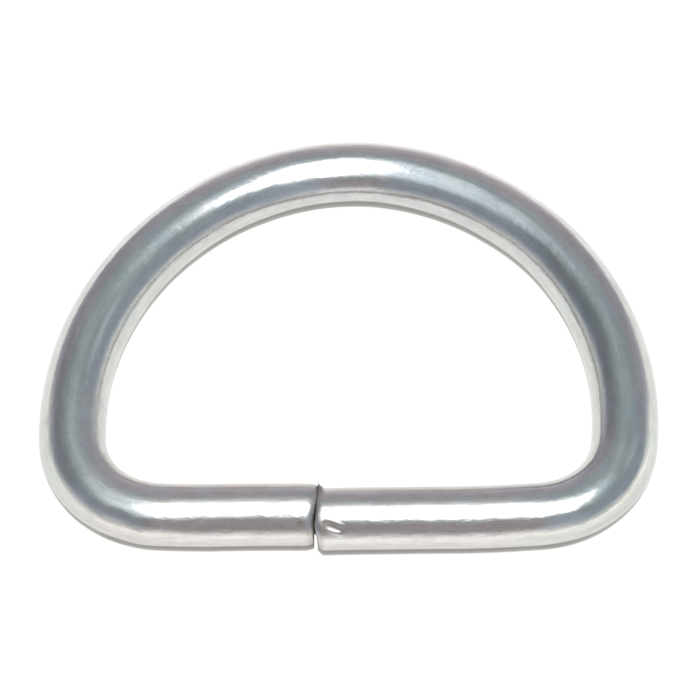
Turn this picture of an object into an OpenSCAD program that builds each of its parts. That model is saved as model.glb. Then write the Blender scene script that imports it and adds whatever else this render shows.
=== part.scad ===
// D ring bent from one length of round wire, its two cut ends butted together in the straight bar.
// It lies flat: X runs along the bar, Y from the bar to the crown, Z up from the surface.

/* [Ring] */
// Inside width, the width of strap that the ring takes
inner_w = 25.4; // [24:0.1:30]
// Inside height, from the bar to the crown
inner_h = 17.8; // [16:0.1:20]
// Diameter of the wire
wire_d = 3.5; // [3:0.1:4]

/* [Arch] */
// How much tighter the crown's bend is than half the inside width
crown_tuck = 0.8; // [0.5:0.05:1.2]
// How much wider the shoulders' bends are than half the inside width
shoulder_ease = 2; // [1.5:0.1:4]
// How far the crown's top stands right of the middle
crown_shift = 0.25; // [0:0.05:0.4]
// How much thinner the bending draws the wire at the shoulders, and twice as much in the corners
bend_thinning = 0.01; // [0.005:0.005:0.05]

/* [Corners] */
// Inside radius of the left corner
left_corner_r = 2.9; // [2:0.1:4]
// Inside radius of the right corner
right_corner_r = 3.1; // [2:0.1:4]
// How far the left corner falls short of a square bend, in degrees
left_lean = 0.3; // [0:0.1:2]
// How far the right corner falls short of a square bend, in degrees
right_lean = 1.7; // [0:0.1:2]

/* [Cut ends] */
// How far the join lies left of the middle
join_shift = 1.8; // [0:0.1:5]
// Gap between the two cut ends, on the wire's axis
join_gap = 0.12; // [0.05:0.01:0.5]
// Rounding of each cut end's rim
rim_r = 0.35; // [0.1:0.05:0.6]

/* [Nick] */
// Distance from the right cut end to the middle of the nick beside it
nick_from_end = 0.8; // [0.6:0.05:2]
// Depth of the nick
nick_depth = 0.12; // [0.05:0.01:0.25]
// Radius of the nick along its length
nick_r = 2.2; // [1:0.1:3]
// Radius of the nick across its width
nick_edge_r = 0.3; // [0.15:0.05:0.45]
// Height of the nick round the wire, in degrees above the level
nick_rise = 48; // [20:1:80]
// Slant of the nick from the wire's length, in degrees
nick_slant = 22; // [0:1:60]

/* [Hidden] */
$fn = 60;

wire_r = wire_d / 2;
shoulder_d = wire_d - bend_thinning;
corner_d = shoulder_d - bend_thinning;
// The drawn wire runs this far into the thicker wire beside it
bend_run_in = 0.05;

// Half width and height of the wire's axis, before the crown is shifted
axis_half_w = (inner_w + shoulder_d) / 2;
axis_h = inner_h + wire_d;
crown_r = axis_half_w - crown_tuck;
crown_y = axis_h - crown_r;
join_x = -join_shift - crown_shift;

// The sides in one table: half width from the crown's axis, corner radius on the wire's axis, lean,
// and the distance along X from the crown's axis to the cut end, with the left side counted positive
HALF_W = 0;
CORNER_R = 1;
LEAN = 2;
END_X = 3;
left_side = [axis_half_w + crown_shift, left_corner_r + wire_r, left_lean, -join_x + join_gap / 2];
right_side = [axis_half_w - crown_shift, right_corner_r + wire_r, right_lean, join_x + join_gap / 2];

// Angle that a length along the wire turns through in a bend
function turn(length, radius) = length / radius * 180 / PI;

// Bends of one side, laid out to the left of the crown's axis
function shoulder_r(side) = side[HALF_W] + shoulder_ease;
function crown_sweep(side) = asin(shoulder_ease / (shoulder_r(side) - crown_r));
function shoulder_centre(side) =
    let (offset = shoulder_r(side) - crown_r, a = crown_sweep(side))
    [offset * sin(a), crown_y - offset * cos(a)];
function corner_centre(side) =
    let (c = shoulder_centre(side), r = side[CORNER_R], reach = shoulder_r(side) - r)
    [c.x - sqrt(pow(reach, 2) - pow(c.y - r, 2)), r];
// Direction from the shoulder's centre to where the corner starts, measured round from the crown
function shoulder_end(side) =
    let (d = corner_centre(side) - shoulder_centre(side))
    atan2(-d.x, d.y);
function corner_end(side) = 180 - side[LEAN];
// The straight bar starts where the corner stops
function bar_start(side) =
    let (c = corner_centre(side), r = side[CORNER_R])
    [c.x - r * sin(side[LEAN]), c.y - r * cos(side[LEAN])];
function bar_length(side) = (-side[END_X] - bar_start(side).x) / cos(side[LEAN]);
// Lowest point of the bar in Y, on the rounded rim of its cut end
function bar_front(side) =
    bar_start(side).y - (bar_length(side) - rim_r) * sin(side[LEAN])
    - (wire_r - rim_r) * cos(side[LEAN]) - rim_r;

ring_front = min(bar_front(left_side), bar_front(right_side));
ring_back = axis_h + wire_r;

// A bend of the wire round its centre, between two angles counted from +Y
module bend(centre, radius, from, to, d) {
    translate([centre.x, centre.y, 0])
        rotate([0, 0, 90 + from])
            rotate_extrude(angle = to - from)
                translate([radius, 0])
                    circle(d = d);
}

// A straight length of wire along +X, cut off at its far end with a rounded rim
module bar(length) {
    rotate([0, 90, 0])
        rotate_extrude() {
            square([wire_r - rim_r, length]);
            square([wire_r, length - rim_r]);
            translate([wire_r - rim_r, length - rim_r])
                circle(r = rim_r);
        }
}

// Everything on one side of the crown's axis, but for the crown's own bend
module side_bends(side) {
    shoulder_from = crown_sweep(side) - turn(bend_run_in, shoulder_r(side));
    bend(shoulder_centre(side), shoulder_r(side), shoulder_from, shoulder_end(side), shoulder_d);
    run_in = turn(bend_run_in, side[CORNER_R]);
    corner_to = corner_end(side) + run_in;
    bend(corner_centre(side), side[CORNER_R], shoulder_end(side) - run_in, corner_to, corner_d);
    translate([bar_start(side).x, bar_start(side).y, 0])
        rotate([0, 0, -side[LEAN]])
            bar(bar_length(side));
}

// The round edge that pressed the nick into the right end, on the left side's layout
module nick_edge() {
    translate([bar_start(right_side).x, bar_start(right_side).y, 0])
        rotate([0, 0, -right_side[LEAN]])
            translate([bar_length(right_side) - nick_from_end, 0, 0])
                rotate([90 - nick_rise, 0, 0])
                    translate([0, 0, wire_r - nick_depth + nick_r])
                        rotate([90, 0, nick_slant])
                            rotate_extrude()
                                translate([nick_r - nick_edge_r, 0])
                                    circle(r = nick_edge_r);
}

// The whole wire about its own axis, with the crown's axis at X = 0
module bent_wire() {
    bend([0, crown_y], crown_r, -crown_sweep(right_side), crown_sweep(left_side), wire_d);
    side_bends(left_side);
    mirror([1, 0, 0])
        difference() {
            side_bends(right_side);
            nick_edge();
        }
}

ring_wire_colour = [0.72, 0.72, 0.71];

module ring_wire() {
    color(ring_wire_colour)
        translate([crown_shift, -(ring_front + ring_back) / 2, wire_r])
            bent_wire();
}

ring_wire();
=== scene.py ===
"""The looks of a D ring bent from one length of round plated wire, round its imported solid.

Laid out as an add-on: the panel in the sidebar lists the ring, its plating and the stage.
Lengths are in metres. The wire is followed from its right cut end, through the right corner, over
the crown and down to its left cut end. Left and right are the camera's.
"""

import math

import bpy
import numpy as np
from bpy.props import FloatProperty, FloatVectorProperty, IntProperty, PointerProperty
from mathutils import Euler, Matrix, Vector, kdtree


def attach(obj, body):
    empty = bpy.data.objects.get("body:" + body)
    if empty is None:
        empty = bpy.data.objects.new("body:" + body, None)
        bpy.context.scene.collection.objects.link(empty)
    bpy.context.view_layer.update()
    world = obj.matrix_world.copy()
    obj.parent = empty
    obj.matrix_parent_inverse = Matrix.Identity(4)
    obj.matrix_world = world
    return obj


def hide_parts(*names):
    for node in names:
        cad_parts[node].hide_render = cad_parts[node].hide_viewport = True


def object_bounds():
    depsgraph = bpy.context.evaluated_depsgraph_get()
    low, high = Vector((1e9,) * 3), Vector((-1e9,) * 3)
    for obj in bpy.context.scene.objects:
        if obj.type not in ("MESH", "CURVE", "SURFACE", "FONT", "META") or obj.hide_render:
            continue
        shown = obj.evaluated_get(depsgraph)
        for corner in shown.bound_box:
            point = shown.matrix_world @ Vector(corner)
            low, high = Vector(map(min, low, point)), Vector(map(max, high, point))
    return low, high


bl_info = {
    "name": "D ring",
    "version": (1, 0, 0),
    "blender": (4, 5, 0),
    "location": "View3D > Sidebar > D ring",
    "description": "Bends a plated wire D ring and sets the stage that it lies on",
    "category": "Add Mesh",
}

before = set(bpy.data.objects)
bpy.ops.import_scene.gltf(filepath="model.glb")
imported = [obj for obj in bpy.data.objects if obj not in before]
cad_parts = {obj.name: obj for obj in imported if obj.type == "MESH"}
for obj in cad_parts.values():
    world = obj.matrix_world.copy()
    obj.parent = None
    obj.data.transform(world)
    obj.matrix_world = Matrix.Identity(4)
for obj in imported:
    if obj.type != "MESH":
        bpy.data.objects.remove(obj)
CAD_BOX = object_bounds()
MM = 0.001
NODE = "ring_wire"
PIECE = "plated_wire_ring"
PLACE = "wire_place"
WEAR_AND_SHADE = "wire_wear"
# Height of the camera above the level, in degrees, which the cut's slant and parting follow too
VIEW_RISE = 58


def length(name, description, default_mm, low_mm=0.0):
    """A size that a user sets, given here in millimetres."""
    return FloatProperty(
        name=name, description=description, default=default_mm * MM, min=low_mm * MM,
        precision=5, unit="LENGTH", subtype="DISTANCE",
    )


def turn(name, description, default_deg):
    """An angle that a user sets, given here in degrees."""
    return FloatProperty(
        name=name, description=description, default=math.radians(default_deg),
        unit="ROTATION", subtype="ANGLE",
    )


def share(name, description, default, high=1.0):
    """A plain factor that a user sets."""
    return FloatProperty(name=name, description=description, default=default, min=0.0, max=high)


def colour(name, description, default):
    """A colour that a user sets, in linear light."""
    return FloatVectorProperty(
        name=name, description=description, default=default, size=3, min=0.0, max=1.0,
        subtype="COLOR",
    )


class RingSizes(bpy.types.PropertyGroup):
    """The bent wire's sizes: the D as in the solid, the join and its rims as in the photo."""

    inner_w: length("Inside width", "Width of strap that the ring takes", 25.4, 10)
    inner_h: length("Inside height", "From the bar to the crown", 17.8, 10)
    wire_d: length("Wire", "Diameter of the wire after bending", 3.488, 1)
    crown_tuck: length("Crown tuck", "How much tighter the crown is than half the width", 0.8)
    shoulder_ease: length("Shoulder ease", "How much wider the shoulders are than that", 2.0)
    crown_shift: length("Crown shift", "How far the crown's top stands right of the middle", 0.25)
    left_corner_r: length("Left corner", "Inside radius of the left corner", 2.9, 1)
    right_corner_r: length("Right corner", "Inside radius of the right corner", 3.1, 1)
    left_lean: turn("Left lean", "How far the left corner falls short of square", 0.3)
    right_lean: turn("Right lean", "How far the right corner falls short of square", 1.7)
    join_shift: length("Join shift", "How far the join lies left of the middle", 1.79)
    join_gap: length("Join gap", "Gap between the two cut ends", 0.012)
    cut_slant: turn("Cut slant", "Slant of the cut's upper half, as the camera sees it", 7)
    cut_opening: length("Cut opening", "How far the right end draws back, low at the front", 0.15)
    left_rim_length: length("Left rim length", "Length over which the left end is rounded", 0.58)
    left_rim_drop: length("Left rim drop", "How far the left end's rounding goes in", 0.13)
    right_rim_length: length("Right rim length", "Length over which the right end is rounded", 0.4)
    right_rim_drop: length("Right rim drop", "How far the right end's rounding goes in", 0.085)
    sides: IntProperty(name="Sides", description="Faces round the wire", default=144, min=24)


class RingMarks(bpy.types.PropertyGroup):
    """Marks of the tools: the nick, burr and pit at the join, the dents and the flats."""

    nick_from_end: length("Nick place", "From the right cut end to the nick's middle", 0.95)
    nick_length: length("Nick length", "Length of the nick", 1.3)
    nick_width: length("Nick width", "Width of the nick", 0.44)
    nick_depth: length("Nick depth", "Depth of the nick", 0.055)
    nick_lip: length("Nick lip", "Height of the metal raised along the nick", 0.015)
    nick_rise: turn("Nick rise", "Height of the nick round the wire, above the level", 49.5)
    nick_slant: turn("Nick slant", "Slant of the nick from the wire's length", 22)
    burr_height: length("Burr height", "Height of the burr left by the cut", 0.4)
    burr_reach: length("Burr reach", "How far the burr reaches back along the wire", 0.45)
    burr_rise: turn("Burr rise", "Place of the burr's middle round the wire", 140)
    burr_width: turn("Burr width", "How far the burr reaches round the wire, each way", 24)
    pit_from_end: length("Pit place", "From the left cut end to the pit's middle", 0.72)
    pit_width: length("Pit width", "Width of the pit", 0.66)
    pit_depth: length("Pit depth", "Depth of the pit", 0.007)
    pit_rise: turn("Pit rise", "Height of the pit round the wire", 49)
    dent_depth: length("Dent depth", "Depth of the bending tool's dents in the corners", 0.06)
    flat_share: share("Flats", "How strongly the bending tools flattened the wire", 1.0, 2)


class RingPlating(bpy.types.PropertyGroup):
    """Colours and gloss of the plating, with the painted reflection tints and painted shade laid over
    it.
    """

    plate: colour("Plate", "Colour of the clean plating", (0.69, 0.68, 0.66))
    worn: colour("Worn", "Colour where the plating is dull", (0.56, 0.54, 0.51))
    # Crevice is the dark colour of the cut face, and of the painted shade in the nick, round the
    # join, by the burr, low at the ends and in the crevice
    crevice: colour("Crevice", "Colour of the thin plating in the join", (0.16, 0.15, 0.13))
    # Underside is painted shade: a dark colour laid over the whole lower half of the wire, in place
    # of the dark reflection of the floor's contact shadow beneath it
    under_shade: colour("Underside", "Colour of the dull plating on the underside", (0.21, 0.20, 0.19))
    # Blue, teal and mauve are painted reflection tints of the room, laid on by place along the wire
    blue_reflection_tint: colour("Blue film", "Tint of the clear film over the crown", (0.93, 0.95, 1.0))
    teal_reflection_tint: colour("Teal film", "Tint of the clear film on the legs", (0.93, 0.99, 1.0))
    mauve_reflection_tint: colour("Mauve film", "Tint of the clear film on the bar", (1.0, 0.975, 0.985))
    # The warm colour is a painted reflection tint beside the lamp's highlights on the bar and the
    # crown, and round the nick, pit and join
    warm_reflection_tint: colour("Warm film", "Tint beside the highlights and round the join", (1.0, 0.93, 0.91))
    gloss_roughness: share("Roughness", "Roughness of the clean plating", 0.14)
    worn_roughness: share("Worn roughness", "Roughness of dull plating", 0.3)


class StageSettings(bpy.types.PropertyGroup):
    """Floor, lights and camera."""

    floor_size: length("Floor", "Width of the floor", 900)
    floor_glow: share("Floor glow", "Light that the backlit floor gives by itself", 1.35, 5)
    floor_colour: colour("Floor colour", "Colour of the floor", (0.2, 0.2, 0.2))
    lamp_radiance: share("Lamp", "Brightness of the soft lamp overhead", 2.6, 20)
    spill_radiance: share("Spill", "Brightness of the ceiling behind the lamp", 1.6, 20)
    skirt_radiance: share("Skirt", "Brightness of the ceiling round the lamp", 0.75, 20)
    camera_rise: turn("Camera rise", "Height of the camera above the level", VIEW_RISE)
    camera_distance: length("Camera distance", "From the camera to the aim", 292)
    frame_width: length("Frame width", "Width of the picture at the aim", 36.88)
    aim_x: length("Aim across", "Aim point across, right of the middle", 0.3)
    aim_y: FloatProperty(
        name="Aim along", description="Aim point along Y", default=-0.34 * MM, precision=5,
        unit="LENGTH", subtype="DISTANCE",
    )
    aim_z: length("Aim up", "Aim point's height", 1.75)
    aim_px: FloatVectorProperty(
        name="Aim in picture", description="Where the aim point falls in a 700 pixel picture",
        size=2, default=(354.7, 350.2),
    )


class Bend:
    """One bend of the wire: its centre in plan, radius on the axis, and start and end heading."""

    def __init__(self, start, heading, radius, sweep):
        self.start = start
        self.heading = heading
        self.radius = radius
        self.sweep = sweep
        self.centre = start + radius * Vector((-math.sin(heading), math.cos(heading)))
        turned = heading + sweep
        self.end_heading = turned
        self.end = self.centre + radius * Vector((math.sin(turned), -math.cos(turned)))


class Straight:
    """One straight stretch of the wire."""

    def __init__(self, start, heading, reach):
        self.start = start
        self.heading = heading
        self.reach = reach
        self.end_heading = heading
        self.end = start + reach * Vector((math.cos(heading), math.sin(heading)))


def side_route(sizes, half_w, corner_r, lean, crown_r, crown_y):
    """Sweeps of one side's crown, shoulder and corner, and where its straight bar starts."""
    shoulder_r = half_w + sizes.shoulder_ease
    offset = shoulder_r - crown_r
    crown_sweep = math.asin(sizes.shoulder_ease / offset)
    shoulder = Vector((offset * math.sin(crown_sweep), crown_y - offset * math.cos(crown_sweep)))
    reach = shoulder_r - corner_r
    corner = Vector((shoulder.x - math.sqrt(reach**2 - (shoulder.y - corner_r) ** 2), corner_r))
    to_corner = corner - shoulder
    shoulder_end = math.atan2(-to_corner.x, to_corner.y)
    corner_end = math.pi - lean
    bar_start = corner - corner_r * Vector((math.sin(lean), math.cos(lean)))
    return {
        "crown": crown_sweep,
        "shoulder": shoulder_end - crown_sweep,
        "shoulder_r": shoulder_r,
        "corner": corner_end - shoulder_end,
        "corner_r": corner_r,
        "bar_start": bar_start,
        "lean": lean,
    }


def wire_route(sizes):
    """The wire's axis in plan, as stretches from the right cut end to the left one."""
    wire_r = sizes.wire_d / 2
    axis_half_w = sizes.inner_w / 2 + wire_r
    axis_h = sizes.inner_h + sizes.wire_d
    crown_r = axis_half_w - sizes.crown_tuck
    crown_y = axis_h - crown_r
    shift = sizes.crown_shift
    left_corner_r = sizes.left_corner_r + wire_r
    right_corner_r = sizes.right_corner_r + wire_r
    left = side_route(
        sizes, axis_half_w + shift, left_corner_r, sizes.left_lean, crown_r, crown_y
    )
    right = side_route(
        sizes, axis_half_w - shift, right_corner_r, sizes.right_lean, crown_r, crown_y
    )
    join_x = -sizes.join_shift - shift
    reaches = {}
    for name, side, end_x in (
        ("left", left, -join_x + sizes.join_gap / 2),
        ("right", right, join_x + sizes.join_gap / 2),
    ):
        reaches[name] = (-end_x - side["bar_start"].x) / math.cos(side["lean"])
    lean = right["lean"]
    corner_foot = Vector((-right["bar_start"].x, right["bar_start"].y))
    cut = corner_foot - reaches["right"] * Vector((math.cos(lean), math.sin(lean)))
    low, high = CAD_BOX
    middle = Vector(((low.x + high.x) / 2 + shift, high.y - wire_r - axis_h))
    route = [Straight(cut + middle, lean, reaches["right"])]
    for radius, sweep in (
        (right["corner_r"], right["corner"]),
        (right["shoulder_r"], right["shoulder"]),
        (crown_r, right["crown"] + left["crown"]),
        (left["shoulder_r"], left["shoulder"]),
        (left["corner_r"], left["corner"]),
    ):
        last = route[-1]
        route.append(Bend(last.end, last.end_heading, radius, sweep))
    last = route[-1]
    route.append(Straight(last.end, last.end_heading, reaches["left"]))
    return route


def stretch_length(part):
    """Length of one stretch, along the wire's axis."""
    return part.reach if isinstance(part, Straight) else part.radius * part.sweep


def deselect_all():
    """Leaves nothing selected and no mesh in edit mode."""
    if bpy.context.object and bpy.context.object.mode != "OBJECT":
        bpy.ops.object.mode_set(mode="OBJECT")
    bpy.ops.object.select_all(action="DESELECT")


def run_on(points, heading, reach):
    """Extrudes the selected ring of edges along a straight, to each of the given distances."""
    along = Vector((math.cos(heading), math.sin(heading), 0))
    at = 0.0
    for point in points:
        step = along * (point - at)
        bpy.ops.mesh.extrude_region_move(TRANSFORM_OT_translate={"value": step})
        at = point


# Steps of the mesh along the wire: near the cut, on the bars and in the bends
FINE_STEP = 0.06 * MM
BAR_STEP = 0.25 * MM
BEND_STEP = 0.2 * MM
FINE_REACH = 2.2 * MM


def bar_points(reach, rim):
    """Distances along a bar, measured from its corner, closer together towards the cut end."""
    body = reach - rim
    coarse_end = body - (FINE_REACH - rim)
    coarse = np.linspace(0, coarse_end, round(coarse_end / BAR_STEP) + 1)[1:]
    fine = np.linspace(coarse_end, body, round((body - coarse_end) / FINE_STEP) + 1)[1:]
    return [*coarse, *fine]


# The rounded rim: distance from the cut face and drop, as shares of the rim's length and drop.
# The last points go a little past the full drop
RIM_POINTS = (
    (0.9, 0.004), (0.8, 0.021), (0.7, 0.056), (0.6, 0.111), (0.5, 0.189), (0.4, 0.293),
    (0.3, 0.425), (0.2, 0.585), (0.12, 0.736), (0.06, 0.862), (0.025, 0.945), (0.008, 1.02),
    (0.0, 1.1),
)
# Rings of the closed cut face, as shares of its radius
FACE_SHARES = (0.88, 0.7, 0.5, 0.3, 0.12)


def round_off(centre, outward, wire_r, rim_length, rim_drop):
    """Extrudes the selected ring of edges into a rounded rim and a closed cut face."""
    last_from_face = rim_length
    last_r = wire_r
    for from_face_share, drop_share in RIM_POINTS:
        from_face = from_face_share * rim_length
        step = outward.to_3d() * (last_from_face - from_face)
        bpy.ops.mesh.extrude_region_move(TRANSFORM_OT_translate={"value": step})
        middle = centre + outward.to_3d() * (rim_length - from_face)
        radius = wire_r - drop_share * rim_drop
        shrink = radius / last_r
        bpy.ops.transform.resize(value=(shrink,) * 3, center_override=middle)
        last_from_face, last_r = from_face, radius
    face = centre + outward.to_3d() * rim_length
    face_r = last_r
    for face_share in FACE_SHARES:
        bpy.ops.mesh.extrude_region_move()
        shrink = face_share * face_r / last_r
        bpy.ops.transform.resize(value=(shrink,) * 3, center_override=face)
        last_r = face_share * face_r
    bpy.ops.mesh.merge(type="CENTER")


MERGE_REACH = 0.0005 * MM
# How far from its middle an open ring's edges are looked for, against the wire's radius
RING_SEARCH = 1.1


def select_ring(piece, centre, reach):
    """Selects the open ring of edges round a point of the wire's axis."""
    bpy.ops.mesh.select_all(action="DESELECT")
    bpy.ops.mesh.select_non_manifold(extend=False, use_wire=False, use_boundary=True,
                                     use_multi_face=False, use_non_contiguous=False,
                                     use_verts=False)
    bpy.ops.object.mode_set(mode="OBJECT")
    mesh = piece.data
    for edge in mesh.edges:
        if edge.select:
            middle = (mesh.vertices[edge.vertices[0]].co + mesh.vertices[edge.vertices[1]].co) / 2
            edge.select = (middle - centre).length < reach
    chosen = {v for e in mesh.edges if e.select for v in e.vertices}
    for vertex in mesh.vertices:
        vertex.select = vertex.index in chosen
    bpy.ops.object.mode_set(mode="EDIT")
    return len(chosen)


def upright(point, z):
    """A point of the plan at a height."""
    return Vector((point.x, point.y, z))


def bend_wire(sizes):
    """Models the whole wire: a circle at the right corner, spun and extruded round the D."""
    wire_r = sizes.wire_d / 2
    route = wire_route(sizes)
    z = CAD_BOX[0].z + wire_r
    right_bar, left_bar = route[0], route[-1]
    deselect_all()
    bpy.ops.mesh.primitive_circle_add(
        vertices=sizes.sides, radius=wire_r, fill_type="NOTHING",
        location=upright(right_bar.end, z),
        rotation=(math.pi / 2, 0, right_bar.heading + math.pi / 2),
    )
    piece = bpy.context.object
    piece.name = PIECE
    bpy.ops.object.transform_apply(location=True, rotation=True, scale=True)
    bpy.ops.object.mode_set(mode="EDIT")
    bpy.context.tool_settings.mesh_select_mode = (False, True, False)
    bpy.ops.mesh.select_all(action="SELECT")
    for bend in route[1:-1]:
        steps = max(2, round(bend.radius * bend.sweep / BEND_STEP))
        bpy.ops.mesh.spin(
            steps=steps, angle=-bend.sweep, center=upright(bend.centre, z), axis=(0, 0, 1)
        )
    rim = sizes.left_rim_length
    run_on(bar_points(left_bar.reach, rim), left_bar.heading, left_bar.reach)
    outward = Vector((math.cos(left_bar.heading), math.sin(left_bar.heading)))
    rim_start = left_bar.end - outward * rim
    round_off(upright(rim_start, z), outward, wire_r, rim, sizes.left_rim_drop)
    found = select_ring(piece, upright(right_bar.end, z), wire_r * RING_SEARCH)
    if found != sizes.sides:
        raise RuntimeError(f"the right corner's open ring has {found} points")
    rim = sizes.right_rim_length
    back = right_bar.heading + math.pi
    run_on(bar_points(right_bar.reach, rim), back, right_bar.reach)
    outward = Vector((math.cos(back), math.sin(back)))
    rim_start = right_bar.start - outward * rim
    round_off(upright(rim_start, z), outward, wire_r, rim, sizes.right_rim_drop)
    bpy.ops.mesh.select_all(action="SELECT")
    bpy.ops.mesh.remove_doubles(threshold=MERGE_REACH)
    bpy.ops.mesh.normals_make_consistent(inside=False)
    bpy.ops.object.mode_set(mode="OBJECT")
    return piece, route


SAMPLE_STEP = 0.02 * MM


def route_samples(route, z):
    """Points, headings and distances along the wire's axis, close together."""
    points, headings, alongs = [], [], []
    done = 0.0
    for part in route:
        reach = stretch_length(part)
        count = max(2, round(reach / SAMPLE_STEP))
        for i in range(count + 1):
            at = i / count
            if isinstance(part, Straight):
                heading = part.heading
                point = part.start.lerp(part.end, at)
            else:
                heading = part.heading + at * part.sweep
                point = part.centre + part.radius * Vector((math.sin(heading), -math.cos(heading)))
            points.append((point.x, point.y, z))
            headings.append(heading)
            alongs.append(done + at * reach)
        done += reach
    return np.array(points), np.array(headings), np.array(alongs)


HALF_OVERLAP = 3 * MM


def wire_places(co, route, z):
    """For each point: distance along the wire, angle round it, distance from its axis, outward way.

    The angle is 0 on the outside of the D, a quarter turn on top, and half a turn on the inside.
    The two halves of the ring, each side of the cut, are searched apart, so that a point by the cut
    is never taken for a point of the other end.
    """
    points, headings, alongs = route_samples(route, z)
    whole = alongs[-1]
    cut = (points[0] + points[-1]) / 2
    right_of_cut = co[:, 0] > cut[0]
    nearest = np.zeros(len(co), dtype=int)
    for half, inside in (
        (alongs < whole / 2 + HALF_OVERLAP, right_of_cut),
        (alongs > whole / 2 - HALF_OVERLAP, ~right_of_cut),
    ):
        chosen = np.flatnonzero(half)
        tree = kdtree.KDTree(len(chosen))
        for sample in chosen:
            tree.insert(points[sample], int(sample))
        tree.balance()
        here = np.flatnonzero(inside)
        nearest[here] = [tree.find(point)[1] for point in co[here]]
    heading = headings[nearest]
    off = co - points[nearest]
    ahead = off[:, 0] * np.cos(heading) + off[:, 1] * np.sin(heading)
    outward = off[:, 0] * np.sin(heading) - off[:, 1] * np.cos(heading)
    round_wire = np.arctan2(off[:, 2], outward)
    radius = np.hypot(off[:, 2], outward)
    outward_way = np.stack([np.sin(heading), -np.cos(heading), np.zeros(len(co))], 1)
    return alongs[nearest] + ahead, round_wire, radius, outward_way, whole


def smooth(x):
    """A smooth step: 0 below 0, 1 above 1."""
    x = np.clip(x, 0, 1)
    return x * x * (3 - 2 * x)


def bump_between(x):
    """A smooth hump: 1 at 0, falling to 0 at 1 and beyond."""
    return np.where(np.abs(x) < 1, (1 - np.minimum(np.abs(x), 1) ** 2) ** 2, 0.0)


# Dents of the bending tool: place along the wire, or back from its far end, place round it, and
# half the size along and round it
DENTS = (
    (12.4 * MM, 25, 1.1 * MM, 50),
    (-9.7 * MM, 25, 0.9 * MM, 45),
)
# Shallow flats left by the bending tools: middle from the left cut end and half the length, then
# the place round the wire and half the turn that it reaches, in degrees, and the depth
FLATS = (
    (0, 7.5 * MM, 34, 52, 0.055 * MM),
    (0, 7.5 * MM, 60, 48, 0.085 * MM),
    (83 * MM, 10.5 * MM, 34, 52, 0.05 * MM),
    (83 * MM, 10.5 * MM, 60, 48, 0.065 * MM),
    (39 * MM, 4.5 * MM, 123, 48, 0.06 * MM),
)
FLAT_EDGE = 4 * MM
# Drift of the hand-bent wire outwards from the drawn path: distance from the left cut end and
# drift, both in millimetres
DRIFTS = (
    (0, 0), (3.3, 0.03), (5.5, 0.09), (7.3, 0.07), (9.2, 0), (13, 0), (27, -0.04),
    (31, -0.1), (34.5, -0.1), (38, -0.03), (41, 0), (44.5, -0.06), (48.5, -0.1), (52, -0.02),
    (64, 0), (67.5, 0.07), (71.5, 0.01), (73.8, 0.1), (75.5, 0.11), (78, 0.06), (82, 0),
)
# Marks fade out on the cut faces, from this share of the wire's radius inwards
SKIN_FROM = 0.8
SKIN_POWER = 4

# The nick's raised lip: its middle and half its width, as shares of the nick's half width
LIP_PLACE = 1.15
LIP_REACH = 0.55
# Painted shade in the nick, darker towards its upper flank: how dark its middle and its lightest part
# are, and how far it spreads past it
NICK_SHADE = 0.55
NICK_LEAST_SHADE = 0.42
NICK_SHADE_EDGE = 0.7
# A darker patch beside the nick: place along and up the wire from the nick's middle, size and shade
DARK_PATCH_ALONG = -0.5 * MM
DARK_PATCH_UP = 0.02 * MM
DARK_PATCH_R = 0.42 * MM
DARK_PATCH_SHADE = 0.85
NEARLY_NOTHING = 1e-9


def nick_shape(from_right, around, wire_r, marks):
    """Lift and painted shade of the nick beside the right cut end, with its raised lip, and a darker
    patch beside it.
    """
    across = (around - marks.nick_rise) * wire_r
    down = from_right - marks.nick_from_end
    cos, sin = math.cos(marks.nick_slant), math.sin(marks.nick_slant)
    run = down * cos - across * sin
    side = down * sin + across * cos
    half_length, half_width = marks.nick_length / 2, marks.nick_width / 2
    reach = np.clip(1 - (run / half_length) ** 2, 0, 1)
    half_here = half_width * np.sqrt(reach) + NEARLY_NOTHING
    trough = reach * np.clip(1 - (side / half_here) ** 2, 0, 1)
    from_lip = (np.abs(side) - half_width * LIP_PLACE) / (half_width * LIP_REACH)
    lip = bump_between(from_lip) * reach**0.5
    lift = -marks.nick_depth * trough + marks.nick_lip * lip
    nick_painted_shade = trough * np.clip(NICK_SHADE + side / half_width, NICK_LEAST_SHADE, 1)
    dark_patch = bump_between(np.hypot(down - DARK_PATCH_ALONG, across - DARK_PATCH_UP) / DARK_PATCH_R)
    edge = bump_between((side - half_width) / (half_width * NICK_SHADE_EDGE)) * reach**0.5
    nick_painted_shade = np.maximum(nick_painted_shade, np.maximum(DARK_PATCH_SHADE * dark_patch, edge))
    return lift, nick_painted_shade


# How much shorter the pit is round the wire than along it, and how strongly it is darkened
PIT_SQUEEZE = 1.45
PIT_DARKENING = 1.6


def pit_shape(from_left, around, wire_r, marks):
    """The pit near the left cut end, 1 in its middle."""
    side = (around - marks.pit_rise) * wire_r
    run = from_left - marks.pit_from_end
    return bump_between(np.hypot(side * PIT_SQUEEZE, run) / (marks.pit_width / 2))


def bending_marks(along, from_left, around, whole, marks):
    """Lift of the dents in the corners and of the flats on the bar and the crown."""
    lift = np.zeros(len(along))
    for far_along, rise, half_run, half_turn in DENTS:
        dent_run = (along - (far_along if far_along > 0 else whole + far_along)) / half_run
        dent_turn = (around - math.radians(rise)) / math.radians(half_turn)
        lift -= marks.dent_depth * bump_between(np.hypot(dent_run, dent_turn))
    for from_left_at, half_run, rise, half_turn, depth in FLATS:
        edge = half_run + FLAT_EDGE / 2 - np.abs(from_left - from_left_at)
        shape = bump_between((around - math.radians(rise)) / math.radians(half_turn))
        lift -= marks.flat_share * depth * shape * smooth(edge / FLAT_EDGE)
    return lift


# How fast the burr falls off round the wire and along it
BURR_POWER_ROUND = 0.8
BURR_POWER_ALONG = 1.3


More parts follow.
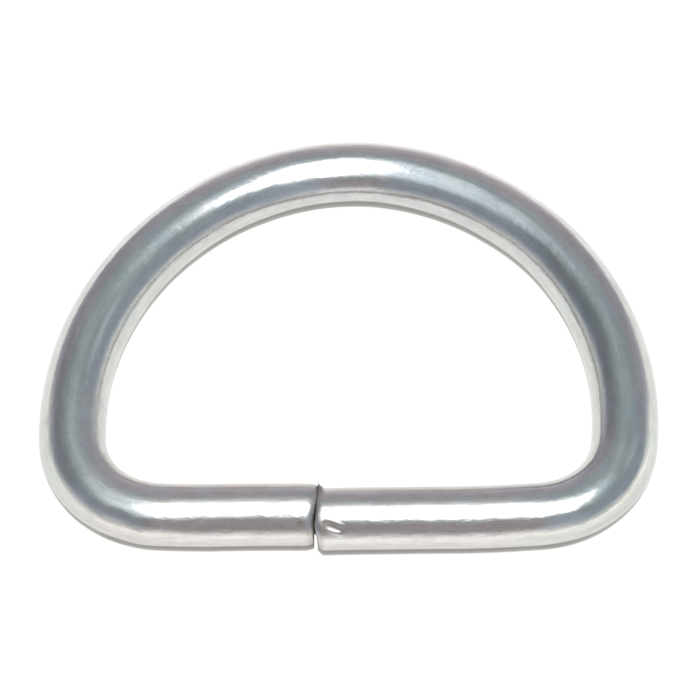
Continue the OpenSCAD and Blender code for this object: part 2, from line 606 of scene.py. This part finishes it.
def burr_shape(from_right, around, marks):
    """The burr on the right cut end, 1 at its tip."""
    side = np.clip(1 - np.abs((around - marks.burr_rise) / marks.burr_width), 0, 1)
    run = np.clip(1 - from_right / marks.burr_reach, 0, 1)
    return side**BURR_POWER_ROUND * run**BURR_POWER_ALONG


# The join seen by the camera: how far low at the front, as a share of the wire's radius, the two
# ends begin to part and are fully apart, and how far along the wire this reaches
PARTING_FROM = 0.15
PARTING_FULL = 0.6
END_REACH = 2.4 * MM
# The right end's lowest corner is rounded off
TOE_FROM = 0.55
TOE_DROP = 0.2 * MM
TOE_REACH = 0.42 * MM


def low_at_front(radius, around):
    """How far low at the front a point lies from the wire's axis, square to the camera's way."""
    rise = math.radians(VIEW_RISE)
    return radius * (np.cos(around) * math.sin(rise) - np.sin(around) * math.cos(rise))


def cut_slide(low_front, near_join, on_right, wire_r, sizes):
    """How far the points near the join move along the bar, to slant the cut and part the ends."""
    slide = -math.tan(sizes.cut_slant) * np.minimum(low_front, 0)
    parting = smooth((low_front / wire_r - PARTING_FROM) / (PARTING_FULL - PARTING_FROM))
    slide += on_right * sizes.cut_opening * parting
    return slide * np.clip(1 - near_join / END_REACH, 0, 1) ** 2


# Wear and painted shade by the join: the cut face, painted shade in the crevice and round them,
# and painted shade by the burr and low at the front of both ends
CUT_FACE_POWER = 0.3
CREVICE_REACH = 0.05 * MM
HALO_SHADE = 0.3
HALO_REACH = 0.5 * MM
JOIN_SHADE_REACH = 0.42 * MM
BURR_SHADE_WIDER = 1.5
JOIN_SHADE_POWER = 0.7
LOW_SHADE_FROM = 0.45
LOW_SHADE_FULL = 0.95
LOW_SHADE_STRENGTH = 0.5


def join_wear_and_shade(from_right, near_join, radius, around, low_front, wire_r, sizes, marks):
    """How far each point near the join lies on the cut face, and its painted shade in the crevice,
    round the join, by the burr and low at the front.
    """
    cut = np.clip(1 - radius / (wire_r - sizes.left_rim_drop), 0, 1) ** CUT_FACE_POWER
    crevice = np.clip(1 - near_join / CREVICE_REACH, 0, 1)
    halo = HALO_SHADE * np.clip(1 - near_join / HALO_REACH, 0, 1)
    burr_shade_turn = (around - marks.burr_rise) / (marks.burr_width * BURR_SHADE_WIDER)
    join_shade = bump_between(burr_shade_turn) * np.clip(1 - from_right / JOIN_SHADE_REACH, 0, 1) ** JOIN_SHADE_POWER
    low = smooth((low_front / wire_r - LOW_SHADE_FROM) / (LOW_SHADE_FULL - LOW_SHADE_FROM))
    low_join_shade = LOW_SHADE_STRENGTH * np.clip(1 - near_join / JOIN_SHADE_REACH, 0, 1) * low
    return np.maximum(cut, crevice), halo, np.maximum(join_shade, low_join_shade)


def press_marks(piece, route, sizes, marks):
    """Presses the marks into the wire, slants the cut, and stores each point's place, wear and
    painted shade.
    """
    mesh = piece.data
    wire_r = sizes.wire_d / 2
    z = CAD_BOX[0].z + wire_r
    co = np.zeros(len(mesh.vertices) * 3)
    mesh.vertices.foreach_get("co", co)
    co = co.reshape(-1, 3)
    along, around, radius, outward_way, whole = wire_places(co, route, z)
    from_right = along
    from_left = whole - along
    near_join = np.minimum(from_right, from_left)
    on_right = np.where(from_right < from_left, 1.0, 0.0)
    low_front = low_at_front(radius, around)

    nick, nick_painted_shade = nick_shape(from_right, around, wire_r, marks)
    pit = pit_shape(from_left, around, wire_r, marks)
    lift = nick - marks.pit_depth * pit + bending_marks(along, from_left, around, whole, marks)
    lift += marks.burr_height * burr_shape(from_right, around, marks)
    toe = smooth((low_front / wire_r - TOE_FROM) / (1 - TOE_FROM))
    lift -= TOE_DROP * toe * np.clip(1 - from_right / TOE_REACH, 0, 1) ** 2

    co[:, 0] += cut_slide(low_front, near_join, on_right, wire_r, sizes)
    skin = np.clip(radius / (wire_r * SKIN_FROM), 0, 1) ** SKIN_POWER
    way = outward_way * np.cos(around)[:, None]
    way[:, 2] = np.sin(around)
    drift = np.interp(from_left / MM, *zip(*DRIFTS)) * MM
    co = co + way * (lift * skin)[:, None] + outward_way * drift[:, None]
    mesh.vertices.foreach_set("co", co.ravel())

    place = np.stack([radius * np.cos(around), radius * np.sin(around), along], 1)
    store(mesh, PLACE, "FLOAT_VECTOR", "vector", place.ravel())
    bare_and_crevice_shade, halo, join_shade = join_wear_and_shade(
        from_right, near_join, radius, around, low_front, wire_r, sizes, marks
    )
    marks_and_shade = np.maximum(np.maximum(nick_painted_shade, np.clip(pit * PIT_DARKENING, 0, 1)), halo)
    wear = np.stack([bare_and_crevice_shade, np.clip(marks_and_shade, 0, 1), join_shade], 1)
    store(mesh, WEAR_AND_SHADE, "FLOAT_VECTOR", "vector", wear.ravel())
    mesh.update()


def store(mesh, name, kind, field, values):
    """Stores a value for each point of the mesh, for the plating to read."""
    attribute = mesh.attributes.get(name) or mesh.attributes.new(name, kind, "POINT")
    attribute.data.foreach_set(field, np.asarray(values, dtype=np.float32))


class Value:
    """A shader socket in Python sums: each sum on it adds a Math node."""

    def __init__(self, graph, socket):
        self.graph = graph
        self.socket = socket

    def __add__(self, other):
        return self.graph.maths("ADD", self, other)

    def __radd__(self, other):
        return self.graph.maths("ADD", other, self)

    def __sub__(self, other):
        return self.graph.maths("SUBTRACT", self, other)

    def __rsub__(self, other):
        return self.graph.maths("SUBTRACT", other, self)

    def __mul__(self, other):
        return self.graph.maths("MULTIPLY", self, other)

    def __rmul__(self, other):
        return self.graph.maths("MULTIPLY", other, self)

    def __truediv__(self, other):
        return self.graph.maths("DIVIDE", self, other)

    def __rtruediv__(self, other):
        return self.graph.maths("DIVIDE", other, self)

    def __pow__(self, other):
        return self.graph.maths("POWER", self, other)


class Graph:
    """The nodes of one material, world or light."""

    def __init__(self, tree):
        self.tree = tree
        tree.nodes.clear()

    def node(self, kind, settings=None, inputs=None, output=0):
        """Adds a node, sets it up, then fills its sockets with values or links."""
        made = self.tree.nodes.new(kind)
        for name, value in (settings or {}).items():
            if name == "stops":
                self.fill_ramp(made.color_ramp, value)
            else:
                setattr(made, name, value)
        for name, value in (inputs or {}).items():
            if isinstance(value, Value):
                self.tree.links.new(value.socket, made.inputs[name])
            else:
                made.inputs[name].default_value = value
        return Value(self, made.outputs[output]) if made.outputs else None

    @staticmethod
    def fill_ramp(ramp, stops):
        while len(ramp.elements) < len(stops):
            ramp.elements.new(1.0)
        for element, (position, value) in zip(ramp.elements, stops):
            element.position = position
            element.color = (value, value, value, 1)

    def maths(self, operation, *values):
        return self.node("ShaderNodeMath", {"operation": operation}, dict(enumerate(values)))

    def larger(self, one, other):
        return self.maths("MAXIMUM", one, other)

    def smaller(self, one, other):
        return self.maths("MINIMUM", one, other)

    def ease(self, value, low, high, to_low=0.0, to_high=1.0):
        """A smooth step from one value to another."""
        return self.node(
            "ShaderNodeMapRange",
            {"interpolation_type": "SMOOTHSTEP", "clamp": True},
            {"Value": value, "From Min": low, "From Max": high, "To Min": to_low,
             "To Max": to_high},
        )

    def mix(self, factor, one, other, blend="MIX"):
        """A mix of two colours."""
        return self.node(
            "ShaderNodeMix",
            {"data_type": "RGBA", "blend_type": blend, "clamp_factor": True},
            {0: factor, 6: rgba(one), 7: rgba(other)},
            output=2,
        )

    def parts(self, vector):
        """A vector's three parts."""
        made = self.node("ShaderNodeSeparateXYZ", None, {0: vector}).socket.node
        return [Value(self, made.outputs[i]) for i in range(3)]

    def vector(self, x, y, z):
        return self.node("ShaderNodeCombineXYZ", None, {0: x, 1: y, 2: z})

    def scaled(self, vector, factors):
        return self.node(
            "ShaderNodeVectorMath", {"operation": "MULTIPLY"}, {0: vector, 1: factors}
        )

    def noise(self, vector, scale, detail=2.0, roughness=0.5, distortion=0.0):
        return self.node(
            "ShaderNodeTexNoise",
            {"noise_dimensions": "3D"},
            {"Vector": vector, "Scale": scale, "Detail": detail, "Roughness": roughness,
             "Distortion": distortion},
        )


def rgba(value):
    if isinstance(value, Value):
        return value
    return (*tuple(value)[:3], 1.0)


PER_MM = 1 / MM

# Noises in the plating: stretch along the wire, scale for each millimetre, detail, roughness and
# distortion
NOISES = {
    "lines": (0.03, 14.0, 3.0, 0.6, 0.0),
    "fine_lines": (0.05, 40.0, 2.0, 0.5, 0.0),
    "broad_lines": (0.06, 5.0, 2.0, 0.5, 0.0),
    "waves": (0.6, 0.9, 2.0, 0.5, 0.0),
    "ripples": (0.55, 2.0, 3.0, 0.55, 0.0),
    "mottle": (0.5, 2.6, 3.0, 0.6, 0.0),
    "grain": (1.0, 22.0, 3.0, 0.6, 0.0),
    "patches": (1.0, 0.55, 4.0, 0.62, 0.3),
    "specks": (1.0, 7.0, 2.0, 0.5, 0.0),
    "reflection_tint": (1.0, 0.8, 2.0, 0.5, 0.0),
}
# Where each noise begins to show and shows in full, and how much of it is used
MOTTLE_RANGE = (0.36, 0.64)
STREAK_RANGE = (0.38, 0.62)
DULL_RANGE = (0.5, 0.72)
DULL_SHARE = 0.55
SPECK_RANGE = (0.70, 0.78)
SPECK_SHARE = 0.6
REFLECTION_TINT_RANGE = (0.3, 0.7)
REFLECTION_TINT_LEAST = 0.2

# Stretches of the wire, as shares of its length from the crown's middle: where each begins and
# where it is in full
ON_BAR = (0.33, 0.40)
ON_CROWN = (0.20, 0.08)
# A matt stretch after the left shoulder: its middle from the right cut end, and its half length
MATT_MIDDLE = 0.832
MATT_REACH = (0.055, 0.02)
# Zones round the wire, by the height or the level distance outwards from its axis: the painted shade
# of the underside, the inside, and the strips beside the lamp's highlights on the bar and the crown
UNDERSIDE = (0.1 * MM, -0.05 * MM)
INSIDE = (-0.5 * MM, -1.3 * MM)
# Strips beside the lamp's highlights on the bar and the crown, which get a painted warm reflection
# tint and more roughness
BAR_EDGE = (0.4 * MM, -0.1 * MM)
CROWN_EDGE_FROM = (-0.1 * MM, 0.3 * MM)
CROWN_EDGE_TO = (1.3 * MM, 0.9 * MM)
# Wear and painted shade from the stored marks: where each begins to show and shows in full
WARM_TINT_BY_MARKS = (0.0, 0.25)
JOIN_SHADE_RANGE = (0.0, 0.6)
CREVICE_WEAR = (0.1, 0.9)

# How strongly each colour is laid over the plating: worn tones, the painted shade of the underside,
# and the dark colour of the marks, the join and the crevice
WORN_TINT = 0.6
STREAK_TINT = 0.45
MOTTLE_TINT = 0.35
UNDER_SHADE_TINT = 0.85
MARK_TINT = 0.75
JOIN_SHADE_TINT = 0.55
CREVICE_TINT = 0.6
# Roughness that each zone adds
LINES_ROUGHEN = 0.1
INSIDE_ROUGHEN = 0.06
EDGE_ROUGHEN = 0.17
MATT_ROUGHEN = 0.12
CREVICE_ROUGHEN = 0.3
MARK_ROUGHEN = 0.4
# Drawn lines and grain: shares of the finest relief, and the heights of the three reliefs
LINES_RELIEF = 0.5
FINE_LINES_RELIEF = 0.2
GRAIN_RELIEF = 0.12
FINE_HEIGHT = 0.0012 * MM
WAVE_HEIGHT = 0.012 * MM
RIPPLE_HEIGHT = 0.015 * MM


def plating_material(plating, whole):
    """Bright plating over drawn wire: lines along the wire, painted reflection tints, dull patches,
    and painted shade on the underside and by the join.
    """
    material = bpy.data.materials.new("bright_wire_plating")
    material.use_nodes = True
    graph = Graph(material.node_tree)
    place = graph.node("ShaderNodeAttribute", {"attribute_name": PLACE}, output=1)
    wear = graph.node("ShaderNodeAttribute", {"attribute_name": WEAR_AND_SHADE}, output=1)
    crevice, marks_and_shade, join_shade = graph.parts(wear)
    level, up, along = graph.parts(place)
    in_mm = graph.scaled(place, (PER_MM, PER_MM, PER_MM))
    noise = {
        name: graph.noise(graph.scaled(in_mm, (1.0, 1.0, stretch)), *settings)
        for name, (stretch, *settings) in NOISES.items()
    }

    share_along = along / whole
    from_crown = graph.maths("ABSOLUTE", share_along - 0.5)
    on_bar = graph.ease(from_crown, *ON_BAR)
    on_crown = graph.ease(from_crown, *ON_CROWN)
    matt = graph.ease(graph.maths("ABSOLUTE", share_along - MATT_MIDDLE), *MATT_REACH)
    underside = graph.ease(up, *UNDERSIDE)
    inside = graph.ease(level, *INSIDE) * (1 - on_bar)
    crown_edge = graph.ease(level, *CROWN_EDGE_FROM) * graph.ease(level, *CROWN_EDGE_TO)
    lamp_edge = on_bar * graph.ease(level, *BAR_EDGE) + on_crown * crown_edge

    dull = graph.ease(noise["patches"], *DULL_RANGE) * DULL_SHARE
    speck = graph.ease(noise["specks"], *SPECK_RANGE) * SPECK_SHARE
    worn = graph.larger(dull, speck)
    mottle = graph.ease(noise["mottle"], *MOTTLE_RANGE)
    streaks = graph.ease((noise["lines"] + noise["broad_lines"]) * 0.5, *STREAK_RANGE)

    # Painted reflection tints by place: teal on the legs, blue over the crown, mauve along the bar,
    # patchy by a noise
    reflection_tint = graph.mix(on_crown, plating.teal_reflection_tint, plating.blue_reflection_tint)
    reflection_tint = graph.mix(on_bar, reflection_tint, plating.mauve_reflection_tint)
    # A painted warm reflection tint in the strips beside the lamp's highlights, and round the nick,
    # pit and join
    warm = graph.larger(lamp_edge, graph.ease(marks_and_shade, *WARM_TINT_BY_MARKS))
    reflection_tint = graph.mix(warm, reflection_tint, plating.warm_reflection_tint)
    reflection_tint_strength = graph.ease(noise["reflection_tint"], *REFLECTION_TINT_RANGE, REFLECTION_TINT_LEAST, 1.0)
    base = graph.mix(worn * WORN_TINT, plating.plate, plating.worn)
    base = graph.mix(streaks * STREAK_TINT + mottle * MOTTLE_TINT, base, plating.worn)
    tinted = graph.mix(reflection_tint_strength, base, reflection_tint, "MULTIPLY")
    # Painted shade: the lower half of the wire is darkened all round, in place of the dark reflection
    # of the floor's contact shadow
    tinted = graph.mix(underside * UNDER_SHADE_TINT, tinted, plating.under_shade)
    # Dark colour of the marks, the join and the crevice: painted shade in the nick, round the join,
    # by the burr, low at the ends and in the crevice, with the darker pit and patch and the cut face
    for strength in (
        marks_and_shade * MARK_TINT,
        graph.ease(join_shade, *JOIN_SHADE_RANGE) * JOIN_SHADE_TINT,
        graph.ease(crevice, *CREVICE_WEAR) * CREVICE_TINT,
    ):
        tinted = graph.mix(strength, tinted, plating.crevice)

    rough = plating.gloss_roughness + worn * (plating.worn_roughness - plating.gloss_roughness)
    for zone, roughening in (
        (noise["lines"] - 0.5, LINES_ROUGHEN),
        (inside, INSIDE_ROUGHEN),
        (lamp_edge, EDGE_ROUGHEN),
        (matt, MATT_ROUGHEN),
        (crevice, CREVICE_ROUGHEN),
        (marks_and_shade, MARK_ROUGHEN),
    ):
        rough = rough + zone * roughening

    fine = (noise["lines"] - 0.5) * LINES_RELIEF + (noise["fine_lines"] - 0.5) * FINE_LINES_RELIEF
    fine = fine + (noise["grain"] - 0.5) * GRAIN_RELIEF
    bump = None
    for relief, height in (
        (fine, FINE_HEIGHT), (noise["waves"], WAVE_HEIGHT), (noise["ripples"], RIPPLE_HEIGHT)
    ):
        inputs = {"Strength": 1.0, "Distance": height, "Height": relief}
        if bump:
            inputs["Normal"] = bump
        bump = graph.node("ShaderNodeBump", None, inputs)
    shader = graph.node(
        "ShaderNodeBsdfPrincipled", None,
        {"Base Color": tinted, "Metallic": 1.0, "Roughness": rough, "Normal": bump},
    )
    graph.node("ShaderNodeOutputMaterial", None, {"Surface": shader})
    return material


class RING_OT_wire(bpy.types.Operator):
    """Bend the wire into the D, round its cut ends and press in the tool marks"""

    bl_idname = "ring.wire"
    bl_label = "Bend the wire"
    bl_options = {"REGISTER", "UNDO"}

    def execute(self, context):
        sizes = context.scene.ring_sizes
        marks = context.scene.ring_marks
        plating = context.scene.ring_plating
        piece, route = bend_wire(sizes)
        press_marks(piece, route, sizes, marks)
        deselect_all()
        piece.select_set(True)
        context.view_layer.objects.active = piece
        bpy.ops.object.shade_smooth()
        whole = sum(stretch_length(part) for part in route)
        piece.data.materials.clear()
        piece.data.materials.append(plating_material(plating, whole))
        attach(piece, "root")
        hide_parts(NODE)
        return {"FINISHED"}


# The room by the way its light comes from. Each side is a way in plan, right and away from the
# camera, and how squarely light must come from there: where the side begins and where it is full
SIDES = {
    "right": (1.0, 0.0, 0.75, 1.0),
    "far": (0.0, 1.0, 0.5, 0.95),
    "straight_far": (0.0, 1.0, 0.85, 1.0),
    "camera": (0.0, -1.0, 0.95, 0.985),
    "left": (-0.95, 0.31, 0.75, 1.0),
    "near_right": (0.26, -0.966, 0.86, 0.97),
    "far_left": (-0.59, 0.81, 0.9, 0.99),
    "far_right": (0.64, 0.77, 0.88, 0.99),
}
# The pale light low down: its strength, how much more or less of it the sides have, and how high
# it reaches, as the sine of its height
LOW_LIGHT = 0.84
LOW_LIGHT_MORE = {
    "camera": 0.46, "right": 0.22, "far": -0.14, "far_left": -0.3, "far_right": -0.26,
}
LOW_REACH = 0.44
LOW_REACH_RIGHT = -0.12
# The dim light above it, in the same way, with a slight slope from left to right
HIGH_LIGHT = 0.4
HIGH_LIGHT_MORE = {"straight_far": 0.05, "left": -0.13, "near_right": 0.1, "camera": -0.1}
HIGH_LIGHT_SLOPE = 0.02
LEAST_LEVEL = 0.001
LEAST_RISE = 0.05

# The lamp on the ceiling: an egg, its middle and sizes as shares of the ceiling's height, and how
# far past and inside its outline its edge softens
LAMP_MIDDLE = (0.13, -0.22)
LAMP_HALF_WIDTH = 0.31
LAMP_REACH_NEAR = 0.45
LAMP_REACH_FAR = 0.41
LAMP_EDGE = (1.12, 0.88)
# Ovals on the ceiling: middle, half sizes, and where each begins and is in full, as shares of them
SPILL = ((0.03, 0.16), (0.12, 0.26), 1.0, 0.0)
SKIRT = ((-0.05, -0.16), (0.8, 0.78), 1.0, 0.35)
WINDOW = ((0.8, 0.42), (0.36, 0.24), 1.0, 0.15)
WINDOW_LIGHT = 0.22

# Tints of the room's light, each with where it begins and is in full, as the sine of its height
WHITE = (1.0, 1.0, 1.0)
MIDDLE_TINT = (0.86, 0.97, 1.13)
HIGH_TINT = (0.88, 1.01, 1.09)
HIGH_FROM = (0.55, 0.8)
LOW_TINT = (1.0, 1.0, 0.97)
LOW_FROM = (0.3, 0.08)
FAR_TINT = (0.98, 0.95, 1.08)
FAR_WAY = (0.3, 0.8)
FAR_BELOW = (0.75, 0.5)
CAMERA_TINT = (1.04, 0.97, 1.0)
CAMERA_BELOW = (0.85, 0.65)
CAMERA_ABOVE = (0.1, 0.3)
CAMERA_LOW_TINT = (0.98, 1.0, 0.97)
CAMERA_LOW_FROM = (0.2, 0.05)
SPILL_TINT = (1.12, 1.0, 0.86)


def oval(graph, across, along, middle, radii, begins, full):
    """How much of an oval on the ceiling shows in a way, softly edged."""
    u = (across - middle[0]) / radii[0]
    v = (along - middle[1]) / radii[1]
    return graph.ease((u * u + v * v) ** 0.5, begins, full)


def lamp_shape(graph, across, along):
    """The lamp's egg, with its blunt end away from the camera."""
    from_middle = along - LAMP_MIDDLE[1]
    v = graph.larger(from_middle, 0) / LAMP_REACH_FAR
    v = v + graph.smaller(from_middle, 0) / LAMP_REACH_NEAR
    u = (across - LAMP_MIDDLE[0]) / LAMP_HALF_WIDTH
    return graph.ease((u * u + v * v) ** 0.5, *LAMP_EDGE)


def room_light(world, stage):
    """A dim room with a soft egg-shaped lamp overhead, paler low down and round the lamp."""
    world.use_nodes = True
    graph = Graph(world.node_tree)
    way = graph.node("ShaderNodeTexCoord", None, None, output=0)
    x, y, z = graph.parts(way)
    flat = graph.larger((x * x + y * y) ** 0.5, LEAST_LEVEL)
    right, far = x / flat, y / flat
    rise = graph.larger(z, LEAST_RISE)
    across, along = x / rise, y / rise

    sides = {
        name: graph.ease(right * to_right + far * to_far, begins, full)
        for name, (to_right, to_far, begins, full) in SIDES.items()
    }
    low = 1 - graph.ease(z, 0.0, LOW_REACH + LOW_REACH_RIGHT * sides["right"])
    low_light = LOW_LIGHT
    for name, more in LOW_LIGHT_MORE.items():
        low_light = low_light + more * sides[name]
    high_light = HIGH_LIGHT + HIGH_LIGHT_SLOPE * right
    for name, more in HIGH_LIGHT_MORE.items():
        high_light = high_light + more * sides[name]

    lamp = lamp_shape(graph, across, along)
    spill = oval(graph, across, along, *SPILL)
    skirt = oval(graph, across, along, *SKIRT)
    window = oval(graph, across, along, *WINDOW)
    light = low * low_light + (1 - low) * (high_light + WINDOW_LIGHT * window)
    light = light + skirt * stage.skirt_radiance * (1 - lamp)
    light = light + lamp * stage.lamp_radiance + spill * stage.spill_radiance * (1 - lamp)

    camera = sides["camera"]
    camera_middle = camera * graph.ease(z, *CAMERA_BELOW) * graph.ease(z, *CAMERA_ABOVE)
    tint = MIDDLE_TINT
    for strength, other in (
        (graph.ease(z, *HIGH_FROM), HIGH_TINT),
        (graph.ease(z, *LOW_FROM), LOW_TINT),
        (graph.ease(far, *FAR_WAY) * graph.ease(z, *FAR_BELOW), FAR_TINT),
        (camera_middle, CAMERA_TINT),
        (camera * graph.ease(z, *CAMERA_LOW_FROM), CAMERA_LOW_TINT),
        (spill, SPILL_TINT),
        (lamp, WHITE),
    ):
        tint = graph.mix(strength, tint, other)
    shader = graph.node("ShaderNodeBackground", None, {"Color": tint, "Strength": light})
    graph.node("ShaderNodeOutputWorld", None, {"Surface": shader})


# The floor's own light inside and beside the ring, in front of it, beyond it, and far away in front
# and beyond, with the places where each begins and is in full
NEAR_GLOW = (0.71, 0.706, 0.69)
FRONT_GLOW = (0.79, 0.785, 0.77)
FRONT_FROM = (-13 * MM, -19 * MM)
BEYOND_GLOW = (0.82, 0.82, 0.82)
BEYOND_FROM = (12.5 * MM, 17 * MM)
AWAY_FRONT_GLOW = (0.93, 0.92, 0.88)
AWAY_BEYOND_GLOW = (0.6, 0.595, 0.6)
AWAY_FROM = (22 * MM, 50 * MM)
AWAY_TURN = (0, 20 * MM)
FLOOR_ROUGHNESS = 0.8
FLOOR_SHINE = 0.1


def floor_material(stage):
    """A pale floor lit from below, brighter in front of the ring and beyond it."""
    material = bpy.data.materials.new("backlit_floor")
    material.use_nodes = True
    graph = Graph(material.node_tree)
    place = graph.node("ShaderNodeTexCoord", None, None, output=3)
    x, y, _ = graph.parts(place)
    glow = graph.mix(graph.ease(y, *FRONT_FROM), NEAR_GLOW, FRONT_GLOW)
    glow = graph.mix(graph.ease(y, *BEYOND_FROM), glow, BEYOND_GLOW)
    outer = graph.mix(graph.ease(y, *AWAY_TURN), AWAY_FRONT_GLOW, AWAY_BEYOND_GLOW)
    glow = graph.mix(graph.ease((x * x + y * y) ** 0.5, *AWAY_FROM), glow, outer)
    shader = graph.node(
        "ShaderNodeBsdfPrincipled", None,
        {"Base Color": rgba(stage.floor_colour), "Roughness": FLOOR_ROUGHNESS,
         "Specular IOR Level": FLOOR_SHINE, "Emission Color": glow,
         "Emission Strength": stage.floor_glow},
    )
    graph.node("ShaderNodeOutputMaterial", None, {"Surface": shader})
    return material


class RING_OT_stage(bpy.types.Operator):
    """Set the backlit floor, the dim room with its soft lamp, and the camera"""

    bl_idname = "ring.stage"
    bl_label = "Set the stage"
    bl_options = {"REGISTER", "UNDO"}

    def execute(self, context):
        stage = context.scene.ring_stage
        deselect_all()
        bpy.ops.mesh.primitive_plane_add(size=stage.floor_size, location=(0, 0, CAD_BOX[0].z))
        floor = context.object
        floor.name = "floor"
        bpy.ops.object.transform_apply(location=True, rotation=True, scale=True)
        floor.data.materials.append(floor_material(stage))
        world = context.scene.world or bpy.data.worlds.new("room")
        context.scene.world = world
        room_light(world, stage)
        set_camera(context.scene, stage)
        context.scene.view_settings.view_transform = "Standard"
        context.scene.view_settings.look = "None"
        return {"FINISHED"}


PICTURE_PX = 700
SENSOR_MM = 36.0


def set_camera(scene, stage):
    """Looks along +Y and down at the ring, with the aim point where the picture has it."""
    bpy.ops.object.camera_add()
    camera = bpy.context.object
    camera.name = "camera"
    rise = stage.camera_rise
    aim = Vector((stage.aim_x, stage.aim_y, stage.aim_z))
    away = Vector((0, -math.cos(rise), math.sin(rise)))
    camera.location = aim + away * stage.camera_distance
    camera.rotation_euler = Euler((math.pi / 2 - rise, 0, 0))
    camera.data.sensor_width = SENSOR_MM
    camera.data.lens = SENSOR_MM * stage.camera_distance / stage.frame_width
    camera.data.shift_x = (PICTURE_PX / 2 - stage.aim_px[0]) / PICTURE_PX
    camera.data.shift_y = (stage.aim_px[1] - PICTURE_PX / 2) / PICTURE_PX
    camera.data.clip_start = 1 * MM
    scene.camera = camera


class RING_PT_panel(bpy.types.Panel):
    """The ring's sizes, marks, plating and stage"""

    bl_idname = "RING_PT_panel"
    bl_label = "D ring"
    bl_space_type = "VIEW_3D"
    bl_region_type = "UI"
    bl_category = "D ring"

    def draw(self, context):
        scene = context.scene
        for group, heading in (
            (scene.ring_sizes, "Ring"),
            (scene.ring_marks, "Tool marks"),
            (scene.ring_plating, "Plating"),
            (scene.ring_stage, "Stage"),
        ):
            box = self.layout.box()
            box.label(text=heading)
            for name in group.__annotations__:
                box.prop(group, name)
        self.layout.operator(RING_OT_wire.bl_idname)
        self.layout.operator(RING_OT_stage.bl_idname)


GROUPS = {
    "ring_sizes": RingSizes,
    "ring_marks": RingMarks,
    "ring_plating": RingPlating,
    "ring_stage": StageSettings,
}
CLASSES = (*GROUPS.values(), RING_OT_wire, RING_OT_stage, RING_PT_panel)


def register():
    for kind in CLASSES:
        bpy.utils.register_class(kind)
    for name, kind in GROUPS.items():
        setattr(bpy.types.Scene, name, PointerProperty(type=kind))


def unregister():
    for name in GROUPS:
        delattr(bpy.types.Scene, name)
    for kind in reversed(CLASSES):
        bpy.utils.unregister_class(kind)


def main():
    register()
    bpy.ops.ring.wire()
    bpy.ops.ring.stage()


if __name__ == "__main__":
    main()
